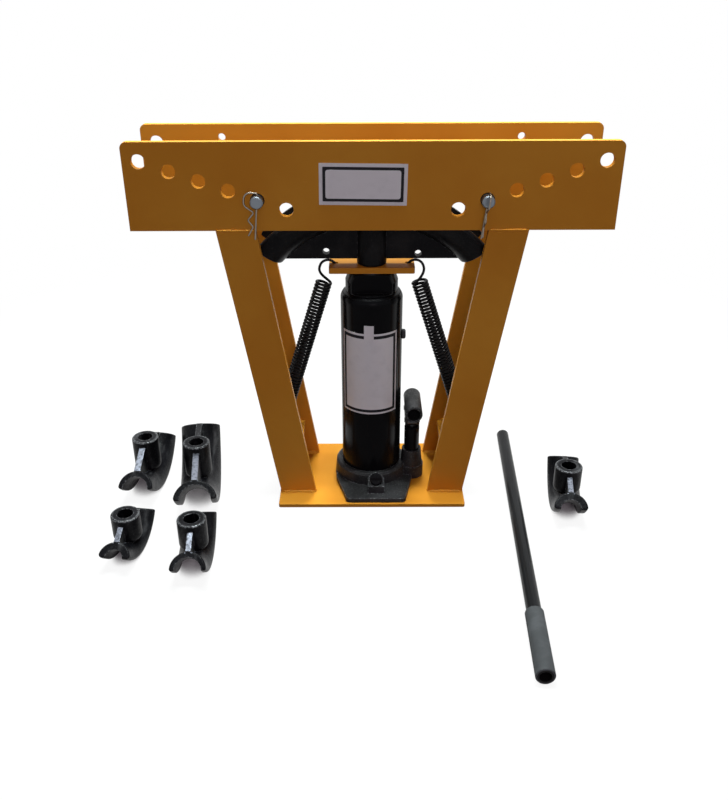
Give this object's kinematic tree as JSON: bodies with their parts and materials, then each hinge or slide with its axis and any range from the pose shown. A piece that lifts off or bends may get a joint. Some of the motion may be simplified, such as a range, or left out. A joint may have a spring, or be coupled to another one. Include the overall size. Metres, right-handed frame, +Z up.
{
  "type": "tube bending press",
  "caption": "Upright hydraulic tube bending press: bottle jack in a plate frame with drilled beams, roller pins, return springs, pump lever, loose dies and handle.",
  "frame": {"origin": "underside of the base plate, below the jack's axis", "axes": "X along the beams to the operator's right, Y away from the operator, Z up along the ram"},
  "size_m": [0.6719, 0.5263, 0.51],
  "materials": {
    "yellow_paint": "gloss yellow paint, thinly worn at the edges and holes",
    "jack_paint": "gloss black paint",
    "die_paint": "satin black paint over cast steel",
    "steel": "turned steel",
    "roller_steel": "turned steel, oiled",
    "socket_paint": "satin black paint",
    "spring_steel": "oil-blackened spring wire",
    "handle_paint": "gloss black paint",
    "grip_rubber": "matt black rubber",
    "black_rubber": "matt black rubber"
  },
  "bodies": {
    "press": {"base_plate": "yellow_paint", "front_beam_plate": "yellow_paint", "rear_beam_plate": "yellow_paint", "front_left_leg": "yellow_paint", "front_right_leg": "yellow_paint", "rear_left_leg": "yellow_paint", "rear_right_leg": "yellow_paint", "left_spring_shelf": "yellow_paint", "right_spring_shelf": "yellow_paint", "jack_base": "jack_paint", "jack_reservoir": "jack_paint", "jack_top_nut": "jack_paint", "pump_barrel": "jack_paint", "pressure_cylinder": "steel", "ram_wiper": "black_rubber", "oil_filler_plug": "black_rubber", "fulcrum_pin": "steel", "left_return_spring": "spring_steel", "right_return_spring": "spring_steel"},
    "ram": {"ram": "steel", "ram_piston": "steel", "piston_seal": "black_rubber", "spring_plate": "yellow_paint", "bending_die_50": "die_paint"},
    "lever": {"handle_socket": "socket_paint"},
    "plunger": {"pump_plunger": "steel", "plunger_pin": "steel"},
    "valve": {"release_valve": "steel"},
    "left_pin": {"left_roller_pin": "steel", "left_pin_clip": "steel"},
    "right_pin": {"right_roller_pin": "steel", "right_pin_clip": "steel"},
    "left_roller": {"left_pipe_roller": "roller_steel"},
    "right_roller": {"right_pipe_roller": "roller_steel"},
    "handle": {"pump_handle": "handle_paint", "handle_grip": "grip_rubber"},
    "die_40": {"bending_die_40": "die_paint"},
    "die_32": {"bending_die_32": "die_paint"},
    "die_25": {"bending_die_25": "die_paint"},
    "die_20": {"bending_die_20": "die_paint"},
    "die_15": {"bending_die_15": "die_paint"}
  },
  "joints": [
    {"name": "ram_slide", "type": "slide", "parent": "press", "child": "ram", "axis": [0, 0, 1], "range_m": [0, 0.034], "deforming": ["left_return_spring", "right_return_spring"]},
    {"name": "pump_lever", "type": "hinge", "parent": "press", "child": "lever", "pos_m": [0.06, 0.01711, 0.10373], "axis": [-1, 0, 0], "range_deg": [0, 30]},
    {"name": "plunger_slide", "type": "slide", "parent": "press", "child": "plunger", "axis": [0, 0, 1], "range_m": [0, 0.0138]},
    {"name": "valve_turn", "type": "hinge", "parent": "press", "child": "valve", "pos_m": [0.0064, -0.0606, 0.0268], "axis": [0, -0.8192, 0.5736], "range_deg": [0, 270]},
    {"name": "left_pin_turn", "type": "hinge", "parent": "press", "child": "left_pin", "pos_m": [-0.1426, 0, 0.4385], "axis": [0, 1, 0], "continuous": true},
    {"name": "left_roller_spin", "type": "hinge", "parent": "press", "child": "left_roller", "pos_m": [-0.1426, 0, 0.4385], "axis": [0, 1, 0], "continuous": true},
    {"name": "right_pin_turn", "type": "hinge", "parent": "press", "child": "right_pin", "pos_m": [0.1426, 0, 0.4385], "axis": [0, 1, 0], "continuous": true},
    {"name": "right_roller_spin", "type": "hinge", "parent": "press", "child": "right_roller", "pos_m": [0.1426, 0, 0.4385], "axis": [0, 1, 0], "continuous": true},
    {"name": "die_40_lift", "type": "slide", "parent": "press", "child": "die_40", "axis": [0, 0, 1], "range_m": [0, 0.15]},
    {"name": "die_32_lift", "type": "slide", "parent": "press", "child": "die_32", "axis": [0, 0, 1], "range_m": [0, 0.15]},
    {"name": "die_25_lift", "type": "slide", "parent": "press", "child": "die_25", "axis": [0, 0, 1], "range_m": [0, 0.15]},
    {"name": "die_20_lift", "type": "slide", "parent": "press", "child": "die_20", "axis": [0, 0, 1], "range_m": [0, 0.15]},
    {"name": "die_15_lift", "type": "slide", "parent": "press", "child": "die_15", "axis": [0, 0, 1], "range_m": [0, 0.15]},
    {"name": "handle_lift", "type": "slide", "parent": "press", "child": "handle", "axis": [0, 0, 1], "range_m": [0, 0.15]}
  ],
  "couplings": [
    {"joint": "plunger_slide", "follows": "pump_lever", "m_per_rad": 0.025704}
  ]
}
